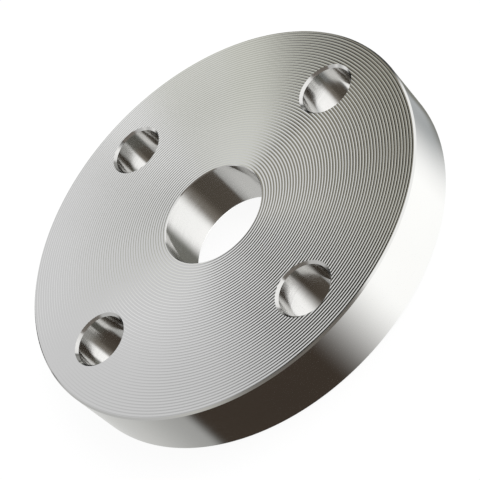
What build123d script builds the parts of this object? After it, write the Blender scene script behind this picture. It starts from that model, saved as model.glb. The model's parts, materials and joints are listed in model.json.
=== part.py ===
from build123d import *
import math
import os

# Plate flange for a DN25 pipe line: one turned and drilled piece of stainless steel.
# It lies on its smooth back with the grooved sealing face up. The bore runs along Z, and
# the origin is the centre of the bore on the back face. Lengths are millimetres.

# Plate
flange_diameter = 115.0
flange_thickness = 16.0
rim_front_chamfer = 0.5
rim_back_chamfer = 0.5

# Bore, which slips over a 28 mm pipe and is welded to it at both ends
bore_diameter = 29.0
bore_front_chamfer = 0.3
bore_back_chamfer = 1.0

# Bolt holes, which straddle the centre lines and clear M12 bolts
bolt_circle_diameter = 85.0
bolt_hole_diameter = 14.0
bolt_hole_count = 4
first_bolt_hole_angle = 45.0
bolt_hole_front_chamfer = 0.7
bolt_hole_back_chamfer = 0.6
countersink_angle = 90.0

# Sealing face: a round-nosed facing tool leaves a fine spiral groove at this feed per turn.
# It is drawn as rings set wider apart, whose flanks are as steep as the fine groove's.
facing_feed = 0.8
tool_nose_radius = 1.6
ring_spacing = 1.8

rim_radius = flange_diameter / 2
bore_radius = bore_diameter / 2
bolt_hole_radius = bolt_hole_diameter / 2

# The tool's arc sets the depth of one turn, and so the mean slope of its flanks
turn_depth = tool_nose_radius - math.sqrt(tool_nose_radius**2 - (facing_feed / 2) ** 2)
flank_slope = turn_depth / (facing_feed / 2)

# The facing cut runs from the front chamfer of the rim to that of the bore
facing_outer_radius = rim_radius - rim_front_chamfer
facing_inner_radius = bore_radius + bore_front_chamfer
ring_count = math.floor((facing_outer_radius - facing_inner_radius) / ring_spacing)
ring_depth = flank_slope * ring_spacing / 2

with BuildPart() as flange:
    # Half section of the plate, with the chamfers of its rim and bore
    with BuildSketch(Plane.XZ) as half_section:
        with BuildLine():
            Polyline(
                (bore_radius + bore_back_chamfer, 0),
                (rim_radius - rim_back_chamfer, 0),
                (rim_radius, rim_back_chamfer),
                (rim_radius, flange_thickness - rim_front_chamfer),
                (facing_outer_radius, flange_thickness),
                (facing_inner_radius, flange_thickness),
                (bore_radius, flange_thickness - bore_front_chamfer),
                (bore_radius, bore_back_chamfer),
                close=True,
            )
        make_face()

        # Each ring is a shallow vee. What is left of the face at the bore stays a narrow plain
        # land, level with the crests between the rings.
        ring_centres = [
            (facing_outer_radius - (ring + 0.5) * ring_spacing, flange_thickness)
            for ring in range(ring_count)
        ]
        with Locations(*ring_centres):
            Polygon(
                (-ring_spacing / 2, 0),
                (0, -ring_depth),
                (ring_spacing / 2, 0),
                align=None,
                mode=Mode.SUBTRACT,
            )
    revolve(axis=Axis.Z)

    # Bolt holes drilled through and countersunk from the front
    with Locations((0, 0, flange_thickness)):
        with PolarLocations(
            bolt_circle_diameter / 2, bolt_hole_count, start_angle=first_bolt_hole_angle
        ):
            CounterSinkHole(
                bolt_hole_radius,
                bolt_hole_radius + bolt_hole_front_chamfer,
                counter_sink_angle=countersink_angle,
            )

    # The same holes chamfered on the back
    back_face = flange.faces().sort_by(Axis.Z)[0]
    drilled_edges = [
        edge
        for edge in back_face.edges()
        if math.isclose(edge.radius, bolt_hole_radius, abs_tol=1e-6)
    ]
    chamfer(drilled_edges, bolt_hole_back_chamfer)

flange.part.label = "flange"

os.makedirs("parts", exist_ok=True)
export_step(flange.part, "parts/flange.step")
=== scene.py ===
import json
import math

import bmesh
import bpy
from mathutils import Matrix, Vector


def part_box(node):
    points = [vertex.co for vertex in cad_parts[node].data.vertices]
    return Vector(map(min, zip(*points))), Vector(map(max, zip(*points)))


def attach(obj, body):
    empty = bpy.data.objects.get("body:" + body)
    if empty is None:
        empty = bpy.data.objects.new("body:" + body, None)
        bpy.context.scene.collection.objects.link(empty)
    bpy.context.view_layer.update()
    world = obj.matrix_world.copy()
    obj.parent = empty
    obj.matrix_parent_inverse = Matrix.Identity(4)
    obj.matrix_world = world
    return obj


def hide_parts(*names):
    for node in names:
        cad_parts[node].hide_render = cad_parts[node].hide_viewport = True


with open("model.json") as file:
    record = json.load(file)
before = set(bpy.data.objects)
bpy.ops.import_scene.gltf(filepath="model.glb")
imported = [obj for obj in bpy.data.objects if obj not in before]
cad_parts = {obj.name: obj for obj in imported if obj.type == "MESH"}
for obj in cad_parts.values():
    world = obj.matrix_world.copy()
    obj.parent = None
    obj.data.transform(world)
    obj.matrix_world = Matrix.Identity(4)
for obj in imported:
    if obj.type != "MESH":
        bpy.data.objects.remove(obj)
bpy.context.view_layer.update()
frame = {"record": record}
mm = 0.001

# The plate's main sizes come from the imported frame, the small ones are its own
lowest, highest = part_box("flange")
mounts = {mount["name"]: mount for mount in frame["record"]["mounts"]}

plate = {
    "Outer Radius": (highest[0] - lowest[0]) / 2,
    "Thickness": highest[2] - lowest[2],
    "Rim Front Chamfer": 0.5 * mm,
    "Rim Back Chamfer": 0.5 * mm,
    "Bore Radius": mounts["pipe_bore"]["dims"]["r_mm"] * mm,
    "Bore Front Chamfer": 0.3 * mm,
    "Bore Back Chamfer": 1.0 * mm,
    "Groove Feed": 0.8 * mm,  # one turn of the facing cut
    "Groove Start": math.radians(129),  # where the facing tool enters at the rim
    "Nose Radius": 1.6 * mm,  # of the facing tool, which sets the groove's hollow
    "Steps Around": 256,
    "Steps Per Groove": 6,
}
boltHoles = {
    "Circle Radius": mounts["bolt_circle"]["dims"]["pcd_mm"] / 2 * mm,
    "Count": mounts["bolt_circle"]["dims"]["count"],
    "First Angle": math.radians(45),  # they straddle the centre lines
    "Hole Radius": mounts["bolt_circle"]["dims"]["hole_r_mm"] * mm,
    "Front Chamfer": 0.7 * mm,
    "Back Chamfer": 0.6 * mm,
    "Overshoot": 1.0 * mm,  # how far the drill stands out of the plate at both ends
    "Hole Steps": 96,
}
sharpEdge = math.radians(15)  # a crest of the groove turns by 24 degrees, its hollow by 5 a step
mergeDistance = 0.0001 * mm
faceDepth = 0.1 * mm  # the groove lies within it, and the middle of each chamfer below it
backDepth = 0.01 * mm  # only the flat back lies within it


def linear(hexColour):
    channels = [int(hexColour[i:i + 2], 16) / 255 for i in (1, 3, 5)]
    return [c / 12.92 if c <= 0.04045 else ((c + 0.055) / 1.055) ** 2.4 for c in channels] + [1.0]


def addNode(tree, kind, inputs=(), **settings):
    node = tree.nodes.new(kind)
    for name, value in settings.items():
        setattr(node, name, value)
    for key, value in inputs.items() if isinstance(inputs, dict) else enumerate(inputs):
        if isinstance(value, bpy.types.Node):
            value = value.outputs[0]
        if isinstance(value, bpy.types.NodeSocket):
            tree.links.new(value, node.inputs[key])
        else:
            node.inputs[key].default_value = value
    return node


# Metals


def newMaterial(name):
    material = bpy.data.materials.new(name)
    material.use_nodes = True
    tree = material.node_tree
    tree.nodes.clear()
    return material, tree


def machinedSteel(name, finish):
    # Stainless steel as a cutting tool leaves it: bright, with fine cuts that run round the axis,
    # so it mirrors sharply along them and smears across them
    material, tree = newMaterial(name)
    place = addNode(tree, "ShaderNodeTexCoord").outputs["Object"]
    level = addNode(tree, "ShaderNodeVectorMath", [place, (1, 1, 0)], operation="MULTIPLY")
    fromAxis = addNode(tree, "ShaderNodeVectorMath", [level], operation="LENGTH").outputs["Value"]
    outward = addNode(tree, "ShaderNodeMath", [
        fromAxis, finish["cutsAlongRadius"]], operation="MULTIPLY")
    lifted = addNode(tree, "ShaderNodeCombineXYZ", {"Z": outward})
    around = finish["cutsAround"]
    wound = addNode(tree, "ShaderNodeVectorMath", [
        place, (around, around, finish["cutsAlongAxis"]), lifted], operation="MULTIPLY_ADD")
    cuts = addNode(tree, "ShaderNodeTexNoise", {"Vector": wound, "Scale": 1.0, "Detail": 3.0})
    patches = addNode(tree, "ShaderNodeTexNoise", {
        "Vector": place, "Scale": finish["patchScale"], "Detail": 2.0})
    colour = addNode(tree, "ShaderNodeMix", {
        "Factor": patches,
        6: linear(finish["darkColour"]),
        7: linear(finish["paleColour"]),
    }, data_type="RGBA")
    # Nearly all of the noise lies from 0.3 to 0.7, and it takes the roughness a fifth down and up
    roughness = addNode(tree, "ShaderNodeMapRange", {
        "Value": cuts,
        "From Min": 0.3,
        "From Max": 0.7,
        "To Min": finish["roughness"] * 0.8,
        "To Max": finish["roughness"] * 1.2,
    })
    bump = addNode(tree, "ShaderNodeBump", {
        "Height": cuts,
        "Strength": 1.0,
        "Distance": finish["cutDepth"],
    })
    tangent = addNode(tree, "ShaderNodeTangent", direction_type="RADIAL", axis="Z")
    shader = addNode(tree, "ShaderNodeBsdfPrincipled", {
        "Base Color": colour.outputs[2],
        "Metallic": 1.0,
        "Roughness": roughness,
        "Anisotropic": finish["anisotropic"],
        "Anisotropic Rotation": 0.25,  # a quarter turn, so that it smears across the cuts
        "Tangent": tangent,
        "Normal": bump,
    })
    addNode(tree, "ShaderNodeOutputMaterial", {"Surface": shader})
    return material


# Cuts per metre: fine ones 0.4 mm apart lie inside the groove's turns, and are drawn as coarse
# as the eye can part them. Walls have them along the axis, faces along the radius.
facedSteel = machinedSteel("facedStainlessSteel", {
    "darkColour": "#c8c8c8",
    "paleColour": "#cccccc",
    "roughness": 0.1,
    "anisotropic": 0.5,
    "cutsAround": 40,
    "cutsAlongRadius": 2500,
    "cutsAlongAxis": 0,
    "cutDepth": 0.0003 * mm,
    "patchScale": 60,
})
turnedSteel = machinedSteel("turnedStainlessSteel", {
    "darkColour": "#c8c8c6",
    "paleColour": "#cfcfcd",
    "roughness": 0.11,
    "anisotropic": 0.6,
    "cutsAround": 30,
    "cutsAlongRadius": 0,
    "cutsAlongAxis": 2500,
    "cutDepth": 0.0001 * mm,
    "patchScale": 40,
})
boredSteel = machinedSteel("boredStainlessSteel", {
    "darkColour": "#c6c6c4",
    "paleColour": "#cecdcb",
    "roughness": 0.14,
    "anisotropic": 0.9,
    "cutsAround": 30,
    "cutsAlongRadius": 0,
    "cutsAlongAxis": 2500,
    "cutDepth": 0.0001 * mm,
    "patchScale": 80,
})
backSteel = machinedSteel("smoothTurnedStainlessSteel", {
    "darkColour": "#c6c6c4",
    "paleColour": "#cdcdcb",
    "roughness": 0.2,
    "anisotropic": 0.5,
    "cutsAround": 30,
    "cutsAlongRadius": 2500,
    "cutsAlongAxis": 0,
    "cutDepth": 0.0006 * mm,
    "patchScale": 50,
})
print("metals ready")


# The flange: one section, turned about the axis, with the facing groove wound over its front


def newTree(name, values):
    tree = bpy.data.node_groups.new(name, "GeometryNodeTree")
    tree.interface.new_socket("Geometry", in_out="OUTPUT", socket_type="NodeSocketGeometry")
    for key, value in values.items():
        kind = "NodeSocketInt" if isinstance(value, int) else "NodeSocketFloat"
        tree.interface.new_socket(key, in_out="INPUT", socket_type=kind)
    return tree, addNode(tree, "NodeGroupInput").outputs


def valueByRow(tree, row, values):
    # The section's corners in order, one value for each row of the grid
    switch = addNode(tree, "GeometryNodeIndexSwitch", {"Index": row}, data_type="FLOAT")
    while len(switch.index_switch_items) < len(values):
        switch.index_switch_items.new()
    for i, value in enumerate(values):
        if isinstance(value, bpy.types.NodeSocket):
            tree.links.new(value, switch.inputs[i + 1])
        else:
            switch.inputs[i + 1].default_value = value
    return switch.outputs[0]


def latheGrid(tree, rows, steps, start, place):
    # A grid whose rows follow the section and whose columns go round the axis
    columns = addNode(tree, "ShaderNodeMath", [steps, 1], operation="ADD")
    grid = addNode(tree, "GeometryNodeMeshGrid", {"Vertices X": rows, "Vertices Y": columns})
    index = addNode(tree, "GeometryNodeInputIndex")
    # Half a step more keeps the row clear of rounding
    midIndex = addNode(tree, "ShaderNodeMath", [index, 0.5], operation="ADD")
    rowShare = addNode(tree, "ShaderNodeMath", [midIndex, columns], operation="DIVIDE")
    row = addNode(tree, "ShaderNodeMath", [rowShare], operation="FLOOR")
    rowStart = addNode(tree, "ShaderNodeMath", [row, columns], operation="MULTIPLY")
    column = addNode(tree, "ShaderNodeMath", [index, rowStart], operation="SUBTRACT")
    turn = addNode(tree, "ShaderNodeMath", [column, steps], operation="DIVIDE")
    radius, height = place(row.outputs[0], turn.outputs[0])
    angle = addNode(tree, "ShaderNodeMath", [turn, math.tau, start], operation="MULTIPLY_ADD")
    cosine = addNode(tree, "ShaderNodeMath", [angle], operation="COSINE")
    sine = addNode(tree, "ShaderNodeMath", [angle], operation="SINE")
    position = addNode(tree, "ShaderNodeCombineXYZ", [
        addNode(tree, "ShaderNodeMath", [radius, cosine], operation="MULTIPLY"),
        addNode(tree, "ShaderNodeMath", [radius, sine], operation="MULTIPLY"),
        height,
    ])
    moved = addNode(tree, "GeometryNodeSetPosition", {"Geometry": grid, "Position": position})
    # Points meet where the last column lies on the first, and at a pole
    return addNode(tree, "GeometryNodeMergeByDistance", {
        "Geometry": moved, "Distance": mergeDistance})


def bakeTree(name, tree, values):
    host = bpy.data.objects.new(name + "Host", bpy.data.meshes.new(name + "Host"))
    bpy.context.scene.collection.objects.link(host)
    modifier = host.modifiers.new("turning", "NODES")
    modifier.node_group = tree
    for item in tree.interface.items_tree:
        if item.name in values:
            modifier[item.identifier] = values[item.name]
    evaluated = host.evaluated_get(bpy.context.evaluated_depsgraph_get())
    mesh = bpy.data.meshes.new_from_object(evaluated)
    host.modifiers.remove(modifier)
    bpy.data.objects.remove(host)
    piece = bpy.data.objects.new(name, mesh)
    bpy.context.scene.collection.objects.link(piece)
    return piece


def makeFlange():
    tree, given = newTree("turnedAndDrilledPlate", {**plate, **boltHoles})
    rim = given["Outer Radius"]
    top = given["Thickness"]
    bore = given["Bore Radius"]
    feed = given["Groove Feed"]
    nose = given["Nose Radius"]
    perGroove = given["Steps Per Groove"]
    faceOuter = addNode(tree, "ShaderNodeMath", [
        rim, given["Rim Front Chamfer"]], operation="SUBTRACT")
    faceInner = addNode(tree, "ShaderNodeMath", [
        bore, given["Bore Front Chamfer"]], operation="ADD")
    faceWidth = addNode(tree, "ShaderNodeMath", [faceOuter, faceInner], operation="SUBTRACT")
    turns = addNode(tree, "ShaderNodeMath", [faceWidth, feed], operation="DIVIDE")
    # One turn more than fits, because the first and last ones run out at the chamfers
    windings = addNode(tree, "ShaderNodeMath", [turns, 1], operation="ADD")
    windingRows = addNode(tree, "ShaderNodeMath", [windings, perGroove], operation="MULTIPLY")
    wholeRows = addNode(tree, "ShaderNodeMath", [windingRows], operation="CEIL")
    faceRows = addNode(tree, "ShaderNodeMath", [wholeRows, 1], operation="ADD")
    # Six corners follow the face's rows, and one more row closes the section
    rows = addNode(tree, "ShaderNodeMath", [faceRows, 6 + 1], operation="ADD")
    lastRow = addNode(tree, "ShaderNodeMath", [rows, 1], operation="SUBTRACT")
    # A crest lies half a feed from the middle of its hollow, on the circle of the tool's nose
    halfFeed = addNode(tree, "ShaderNodeMath", [feed, 0.5], operation="MULTIPLY")
    noseSquared = addNode(tree, "ShaderNodeMath", [nose, 2], operation="POWER")
    halfSquared = addNode(tree, "ShaderNodeMath", [halfFeed, 2], operation="POWER")
    crestSquared = addNode(tree, "ShaderNodeMath", [noseSquared, halfSquared], operation="SUBTRACT")
    crest = addNode(tree, "ShaderNodeMath", [crestSquared], operation="SQRT")

    # Where the chamfers of the back, the bore and the rim end
    backInner = addNode(tree, "ShaderNodeMath", [
        bore, given["Bore Back Chamfer"]], operation="ADD").outputs[0]
    backOuter = addNode(tree, "ShaderNodeMath", [
        rim, given["Rim Back Chamfer"]], operation="SUBTRACT").outputs[0]
    boreTop = addNode(tree, "ShaderNodeMath", [
        top, given["Bore Front Chamfer"]], operation="SUBTRACT").outputs[0]
    rimTop = addNode(tree, "ShaderNodeMath", [
        top, given["Rim Front Chamfer"]], operation="SUBTRACT").outputs[0]

    def section(row, turn):
        # The last row lies on the first, which closes the section
        row = addNode(tree, "ShaderNodeMath", [row, lastRow], operation="MODULO")
        corner = addNode(tree, "ShaderNodeMath", [row, faceRows], operation="SUBTRACT")
        # Rows of the face wind inwards by one feed a turn, and stop at the two chamfers
        winding = addNode(tree, "ShaderNodeMath", [row, perGroove], operation="DIVIDE")
        inward = addNode(tree, "ShaderNodeMath", [winding, turn], operation="ADD")
        fromEntry = addNode(tree, "ShaderNodeMath", [1, inward], operation="SUBTRACT")
        wound = addNode(tree, "ShaderNodeMath", [
            feed, fromEntry, faceOuter], operation="MULTIPLY_ADD")
        inside = addNode(tree, "ShaderNodeMath", [wound, faceOuter], operation="MINIMUM")
        faceRadius = addNode(tree, "ShaderNodeMath", [inside, faceInner], operation="MAXIMUM")
        # The tool's round nose hollows each turn, level with the face at its crests
        fromRim = addNode(tree, "ShaderNodeMath", [faceOuter, faceRadius], operation="SUBTRACT")
        feeds = addNode(tree, "ShaderNodeMath", [fromRim, feed], operation="DIVIDE")
        ahead = addNode(tree, "ShaderNodeMath", [feeds, turn], operation="SUBTRACT")
        phase = addNode(tree, "ShaderNodeMath", [ahead], operation="FRACT")
        fromMiddle = addNode(tree, "ShaderNodeMath", [phase, 0.5], operation="SUBTRACT")
        across = addNode(tree, "ShaderNodeMath", [fromMiddle, feed], operation="MULTIPLY")
        acrossSquared = addNode(tree, "ShaderNodeMath", [across, across], operation="MULTIPLY")
        arcSquared = addNode(tree, "ShaderNodeMath", [
            noseSquared, acrossSquared], operation="SUBTRACT")
        arc = addNode(tree, "ShaderNodeMath", [arcSquared], operation="SQRT")
        hollow = addNode(tree, "ShaderNodeMath", [crest, arc], operation="SUBTRACT")
        faceHeight = addNode(tree, "ShaderNodeMath", [top, hollow], operation="ADD")
        # Where the hollow runs out, its edge lies down the chamfer, which keeps its slope all round
        past = addNode(tree, "ShaderNodeMath", [wound, faceRadius], operation="SUBTRACT")
        side = addNode(tree, "ShaderNodeMath", [past], operation="SIGN")
        slide = addNode(tree, "ShaderNodeMath", [hollow, side], operation="MULTIPLY")
        faceEdge = addNode(tree, "ShaderNodeMath", [faceRadius, slide], operation="SUBTRACT")
        cornerRadius = valueByRow(tree, corner, [bore, bore, backInner, backOuter, rim, rim])
        cornerHeight = valueByRow(tree, corner, [
            boreTop, given["Bore Back Chamfer"], 0.0, 0.0, given["Rim Back Chamfer"], rimTop])
        # The corners count from 0, so the face's rows are the ones below that
        onFace = addNode(tree, "FunctionNodeCompare", [corner, -0.5], operation="LESS_THAN")
        radius = addNode(tree, "GeometryNodeSwitch", [
            onFace, cornerRadius, faceEdge], input_type="FLOAT")
        height = addNode(tree, "GeometryNodeSwitch", [
            onFace, cornerHeight, faceHeight], input_type="FLOAT")
        return radius, height

    # The section runs from the rim inwards, which leaves the faces pointing into the metal
    lathed = latheGrid(tree, rows, given["Steps Around"], given["Groove Start"], section)
    turned = addNode(tree, "GeometryNodeFlipFaces", [lathed])

    # One drill with a countersink at each end, set on the bolt circle
    hole = given["Hole Radius"]
    over = given["Overshoot"]
    mouth = addNode(tree, "ShaderNodeMath", [hole, given["Front Chamfer"]], operation="ADD")
    frontReach = addNode(tree, "ShaderNodeMath", [mouth, over], operation="ADD").outputs[0]
    foot = addNode(tree, "ShaderNodeMath", [hole, given["Back Chamfer"]], operation="ADD")
    backReach = addNode(tree, "ShaderNodeMath", [foot, over], operation="ADD").outputs[0]
    above = addNode(tree, "ShaderNodeMath", [top, over], operation="ADD").outputs[0]
    below = addNode(tree, "ShaderNodeMath", [0, over], operation="SUBTRACT").outputs[0]
    sink = addNode(tree, "ShaderNodeMath", [
        top, given["Front Chamfer"]], operation="SUBTRACT").outputs[0]
    drillRadii = [0.0, frontReach, hole, hole, backReach, 0.0]
    drillHeights = [above, above, sink, given["Back Chamfer"], below, below]

    def drillSection(row, turn):
        return valueByRow(tree, row, drillRadii), valueByRow(tree, row, drillHeights)

    drill = latheGrid(tree, len(drillRadii), given["Hole Steps"], 0.0, drillSection)
    circle = addNode(tree, "GeometryNodeMeshCircle", {
        "Vertices": given["Count"], "Radius": given["Circle Radius"]})
    firstTurn = addNode(tree, "ShaderNodeCombineXYZ", {"Z": given["First Angle"]})
    boltCircle = addNode(tree, "GeometryNodeTransform", {
        "Geometry": circle, "Rotation": firstTurn})
    drills = addNode(tree, "GeometryNodeInstanceOnPoints", {
        "Points": boltCircle, "Instance": drill})
    drillMesh = addNode(tree, "GeometryNodeRealizeInstances", [drills])
    drilled = addNode(tree, "GeometryNodeMeshBoolean", {
        "Mesh 1": turned, "Mesh 2": drillMesh}, operation="DIFFERENCE", solver="MANIFOLD")

    # Smooth along each cut, sharp at crests and chamfers
    angle = addNode(tree, "GeometryNodeInputMeshEdgeAngle").outputs["Unsigned Angle"]
    isSharp = addNode(tree, "FunctionNodeCompare", [angle, sharpEdge], operation="GREATER_THAN")
    smooth = addNode(tree, "GeometryNodeSetShadeSmooth", {
        "Geometry": drilled, "Shade Smooth": True}, domain="FACE")
    edged = addNode(tree, "GeometryNodeSetShadeSmooth", {
        "Geometry": smooth, "Selection": isSharp, "Shade Smooth": False}, domain="EDGE")

    # A face's finish follows from where it lies: bored unless at the rim, the back or the front
    position = addNode(tree, "GeometryNodeInputPosition")
    level = addNode(tree, "ShaderNodeVectorMath", [position, (1, 1, 0)], operation="MULTIPLY")
    fromAxis = addNode(tree, "ShaderNodeVectorMath", [level], operation="LENGTH").outputs["Value"]
    heights = addNode(tree, "ShaderNodeSeparateXYZ", [position]).outputs["Z"]
    underGroove = addNode(tree, "ShaderNodeMath", [top, faceDepth], operation="SUBTRACT")
    atRim = addNode(tree, "FunctionNodeCompare", [fromAxis, faceOuter], operation="GREATER_THAN")
    atBack = addNode(tree, "FunctionNodeCompare", [heights, backDepth], operation="LESS_THAN")
    atFront = addNode(tree, "FunctionNodeCompare", [heights, underGroove], operation="GREATER_THAN")
    shape = addNode(tree, "GeometryNodeRealizeInstances", [edged])
    shape = addNode(tree, "GeometryNodeSetMaterial", [shape, True, boredSteel])
    shape = addNode(tree, "GeometryNodeSetMaterial", [shape, atRim, turnedSteel])
    shape = addNode(tree, "GeometryNodeSetMaterial", [shape, atBack, backSteel])
    shape = addNode(tree, "GeometryNodeSetMaterial", [shape, atFront, facedSteel])
    addNode(tree, "NodeGroupOutput", [shape])
    return bakeTree("machinedFlange", tree, {**plate, **boltHoles})


machinedFlange = makeFlange()
machinedFlange.data.calc_loop_triangles()
print("flange turned:", len(machinedFlange.data.loop_triangles), "triangles")
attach(machinedFlange, "root")
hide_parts("flange")


# Stage, surroundings and camera

stage = {
    "floorSize": 4.0,
    "floorColour": "#f4f4f4",
    "floorFill": 0.85,  # the share of its white that needs no light, which keeps its shadow faint
    "floorGlow": 1.05,
    "evenLight": 0.75,
    "lampPower": 4.0,
    "lampSize": 0.8,
    "lampPlace": (0.5, 0.4, 0.9),
}
# Bare metal shows little but what it mirrors. It stands in a round tent that glows with painted
# reflections, panels of painted highlight and painted dark reflection, each painted over the one
# before. Only mirrored rays see the tent.
# Below the plate's level the tent hangs nearer.
# A panel's azimuth from, to and softness, elevation from, to and softness, colour and strength
tentRadius = 0.26
lowTentRadius = 0.13
tentSegments = 96
tentRings = 48
# The tent's base colour is a dim painted reflection under all the panels
tentPaintedReflection = ("#f4ead0", 0.035)
# Each panel is a painted reflection: the white ones painted highlights, the dark and brown ones
# painted dark reflections
reflectionPanels = {
    "lowReflection": (0, 360, 1, -90, -9, 4, "#f8f0e8", 0.13),
    "whiteSide": (328, 66, 6, -9, 60, 6, "#ffffff", 1.38),
    "faceReflection": (108.5, 223.5, 5, 0, 51.5, 15, "#fbfcf2", 1.01),
    "neutralReflection": (128.5, 235, 2.5, 1, 44, 3, "#fdfdfd", 1.26),
    "brightStrip": (115.5, 164.5, 2, 1.5, 21, 2.7, "#ffffff", 1.15),
    "leftReflection": (135, 204, 3, 25.5, 57, 6.5, "#ffffff", 0.95),
    "upperLeftReflection": (164, 184.5, 4.5, 51.5, 77, 9.5, "#ffffff", 0.61),
    "farReflection": (220, 335, 8, -9, 33, 6, "#fcfaf4", 0.78),
    "sideReflection": (176, 240, 12.5, -18, 85, 16, "#fdfdfd", 0.73),
    "brightSide": (196, 202, 13, 23, 73, 9, "#ffffff", 1.34),
    "upperFarReflection": (236, 334, 5, 35, 78, 6, "#f8ece0", 0.24),
    "greyCorner": (96, 120.5, 3.5, 37.5, 62, 1.5, "#f8f2de", 0.39),
    "lowDarkSide": (44, 158, 4, -71, -8, 4, "#f4f4e8", 0.25),
    "levelReflection": (76, 138, 5, -20, 3, 3, "#f8f8f4", 0.45),
    "leftEdgeReflection": (138, 170, 5, -24, 1, 3, "#fafaf8", 0.5),
    "darkEdgeReflection": (166, 208, 5, -24, -3.5, 3, "#f4f4f0", 0.05),
    "lowSideHighlight": (144, 180, 8, -33, -24, 1.7, "#ffffff", 1.45),
    "lowHighlight": (120, 164, 8, -56, -39.5, 1.5, "#ffffff", 1.7),
    "lowerHighlight": (150, 222, 8, -70, -47, 1.5, "#ffffff", 1.6),
    "lowLeftReflection": (172, 243.5, 3.5, -46, -14, 2, "#fafaf8", 0.53),
    "lowLeftLight": (166, 227, 18, -46, -18, 2, "#fafaf8", 0.77),
    "lowDarkReflection": (246, 345, 3, -77, -10, 5, "#f8dcc4", 0.07),
    "lowBrownReflection": (242, 345, 5, -77, -33, 3, "#f4e4d0", 0.125),
    "lowGreyReflection": (304, 345, 14, -77, -33, 3, "#f4e8d8", 0.27),
    "greyReturn": (28, 72, 4, -33, -19, 2, "#f4f8fa", 0.56),
    "whiteReturn": (332, 46, 16, -46, -33, 3, "#ffffff", 1.5),
    "lowWhiteReturn": (332, 35, 10, -90, -44, 3, "#ffffff", 1.6),
    "rimWhiteReturn": (319, 40, 19, -34, -9, 2, "#ffffff", 1.6),
    "whiteCorner": (48, 73, 5, 16, 46, 6, "#ffffff", 1.3),
    "cornerReflection": (75, 101, 6, 0, 30, 5, "#f8f8f4", 0.45),
    "darkCorner": (62, 85, 4, -9, 4, 3, "#f4f4f0", 0.08),
    "roof": (0, 360, 1, 82, 100, 4, "#ffffff", 1.1),
}


def makeWorld():
    world = bpy.data.worlds.new("studio")
    bpy.context.scene.world = world
    world.use_nodes = True
    tree = world.node_tree
    tree.nodes.clear()
    light = addNode(tree, "ShaderNodeLightPath").outputs
    mirrored = addNode(tree, "ShaderNodeMath", [
        light["Is Glossy Ray"], light["Is Transmission Ray"]], operation="MAXIMUM")
    seen = addNode(tree, "ShaderNodeMath", [
        light["Is Camera Ray"], mirrored], operation="MAXIMUM")
    strength = addNode(tree, "ShaderNodeMapRange", {
        "Value": seen, "To Min": stage["evenLight"], "To Max": 1.0})
    background = addNode(tree, "ShaderNodeBackground", {
        "Color": (1, 1, 1, 1), "Strength": strength})
    addNode(tree, "ShaderNodeOutputWorld", {"Surface": background})


def nearMask(tree, value, first, last, softness):
    # 1 between the two values and 0 outside them, with a soft edge
    middle = addNode(tree, "ShaderNodeMath", [value, (first + last) / 2], operation="SUBTRACT")
    wrapped = addNode(tree, "ShaderNodeMath", [middle, 180, -180], operation="WRAP")
    away = addNode(tree, "ShaderNodeMath", [wrapped], operation="ABSOLUTE")
    half = (last - first) / 2
    return addNode(tree, "ShaderNodeMapRange", {
        "Value": away,
        "From Min": half - softness,
        "From Max": half + softness,
        "To Min": 1.0,
        "To Max": 0.0,
    }, interpolation_type="SMOOTHSTEP")


def makeTent():
    mesh = bpy.data.meshes.new("tent")
    shell = bmesh.new()
    sphere = {"u_segments": tentSegments, "v_segments": tentRings}
    bmesh.ops.create_uvsphere(shell, radius=tentRadius, **sphere)
    bowl = bmesh.ops.create_uvsphere(shell, radius=lowTentRadius, **sphere)["verts"]
    overBrim = [vert for vert in bowl if vert.co.z > 0.1 * mm]  # only its lower half stays
    bmesh.ops.delete(shell, geom=overBrim, context="VERTS")
    shell.to_mesh(mesh)
    shell.free()
    tent = bpy.data.objects.new("tent", mesh)
    bpy.context.scene.collection.objects.link(tent)
    # The tent glows, though it is no lamp: its colour is painted reflection for the metal to mirror
    material, tree = newMaterial("tentPaintedReflection")
    place = addNode(tree, "ShaderNodeTexCoord").outputs["Object"]
    outward = addNode(tree, "ShaderNodeVectorMath", [place], operation="NORMALIZE")
    parts = addNode(tree, "ShaderNodeSeparateXYZ", [outward]).outputs
    bearing = addNode(tree, "ShaderNodeMath", [parts["Y"], parts["X"]], operation="ARCTAN2")
    azimuth = addNode(tree, "ShaderNodeMath", [bearing], operation="DEGREES")
    rise = addNode(tree, "ShaderNodeMath", [parts["Z"]], operation="ARCSINE")
    elevation = addNode(tree, "ShaderNodeMath", [rise], operation="DEGREES")
    colour, strength = tentPaintedReflection
    reflectionPaint = tuple(c * strength for c in linear(colour)[:3])
    # Each panel paints its highlight or dark reflection over what is painted before
    for panel in reflectionPanels.values():
        left, right, sideSoftness, bottom, top, endSoftness, colour, strength = panel
        if right < left:
            right += 360
        along = nearMask(tree, azimuth, left, right, sideSoftness)
        upward = nearMask(tree, elevation, bottom, top, endSoftness)
        mask = addNode(tree, "ShaderNodeMath", [along, upward], operation="MULTIPLY")
        reflectionPaint = addNode(tree, "ShaderNodeMix", {
            "Factor": mask,
            4: reflectionPaint,
            5: tuple(c * strength for c in linear(colour)[:3]),
        }, data_type="VECTOR").outputs[1]
    glow = addNode(tree, "ShaderNodeEmission", {"Color": reflectionPaint, "Strength": 1.0})
    addNode(tree, "ShaderNodeOutputMaterial", {"Surface": glow})
    material.cycles.emission_sampling = "NONE"
    mesh.materials.append(material)
    tent.visible_camera = False
    tent.visible_diffuse = False
    tent.visible_shadow = False


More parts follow.
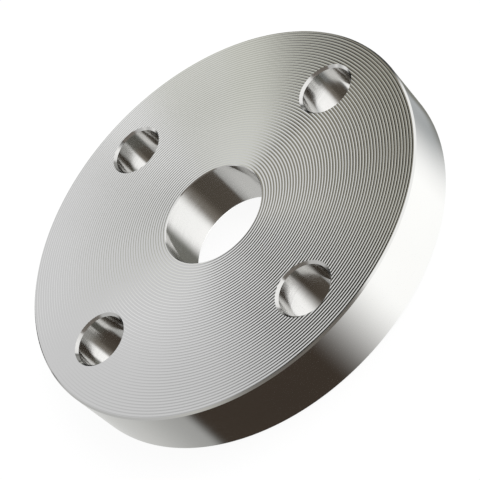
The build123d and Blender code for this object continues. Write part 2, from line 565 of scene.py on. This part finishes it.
def makeFloor():
    half = stage["floorSize"] / 2
    mesh = bpy.data.meshes.new("floor")
    corners = [(-half, -half, 0), (half, -half, 0), (half, half, 0), (-half, half, 0)]
    mesh.from_pydata(corners, [], [(0, 1, 2, 3)])
    floor = bpy.data.objects.new("floor", mesh)
    bpy.context.scene.collection.objects.link(floor)
    material, tree = newMaterial("whitePaperFloor")
    light = addNode(tree, "ShaderNodeLightPath").outputs
    paper = addNode(tree, "ShaderNodeBsdfDiffuse", {"Color": linear(stage["floorColour"])})
    glow = addNode(tree, "ShaderNodeEmission", {"Strength": stage["floorGlow"]})
    fill = addNode(tree, "ShaderNodeMath", [
        light["Is Camera Ray"], stage["floorFill"]], operation="MULTIPLY")
    both = addNode(tree, "ShaderNodeMixShader", [fill, paper, glow])
    addNode(tree, "ShaderNodeOutputMaterial", {"Surface": both})
    material.cycles.emission_sampling = "NONE"
    mesh.materials.append(material)
    floor.visible_glossy = False


def makeLamp():
    data = bpy.data.lights.new("softbox", "AREA")
    data.energy = stage["lampPower"]
    data.size = stage["lampSize"]
    lamp = bpy.data.objects.new("softbox", data)
    lamp.location = stage["lampPlace"]
    lamp.rotation_euler = (-Vector(stage["lampPlace"])).to_track_quat("-Z", "Y").to_euler()
    lamp.visible_glossy = False
    bpy.context.scene.collection.objects.link(lamp)


view = {
    "place": Vector((199.07, -216.95, 259.31)) * mm,
    "target": Vector((9.925, -10.93, 16.0)) * mm,
    "roll": math.radians(-46.407),
    "lens": 113.675,
    "sensorWidth": 36.0,
    "nearest": 0.01,
}


def makeCamera():
    data = bpy.data.cameras.new("camera")
    data.lens = view["lens"]
    data.sensor_width = view["sensorWidth"]
    data.clip_start = view["nearest"]
    camera = bpy.data.objects.new("camera", data)
    aim = (view["target"] - view["place"]).to_track_quat("-Z", "Y").to_matrix().to_4x4()
    roll = Matrix.Rotation(view["roll"], 4, "Z")
    camera.matrix_world = Matrix.Translation(view["place"]) @ aim @ roll
    bpy.context.scene.collection.objects.link(camera)
    bpy.context.scene.camera = camera


makeWorld()
makeTent()
makeFloor()
makeLamp()
makeCamera()
bpy.context.scene.view_settings.view_transform = "Standard"
print("stage and camera ready")
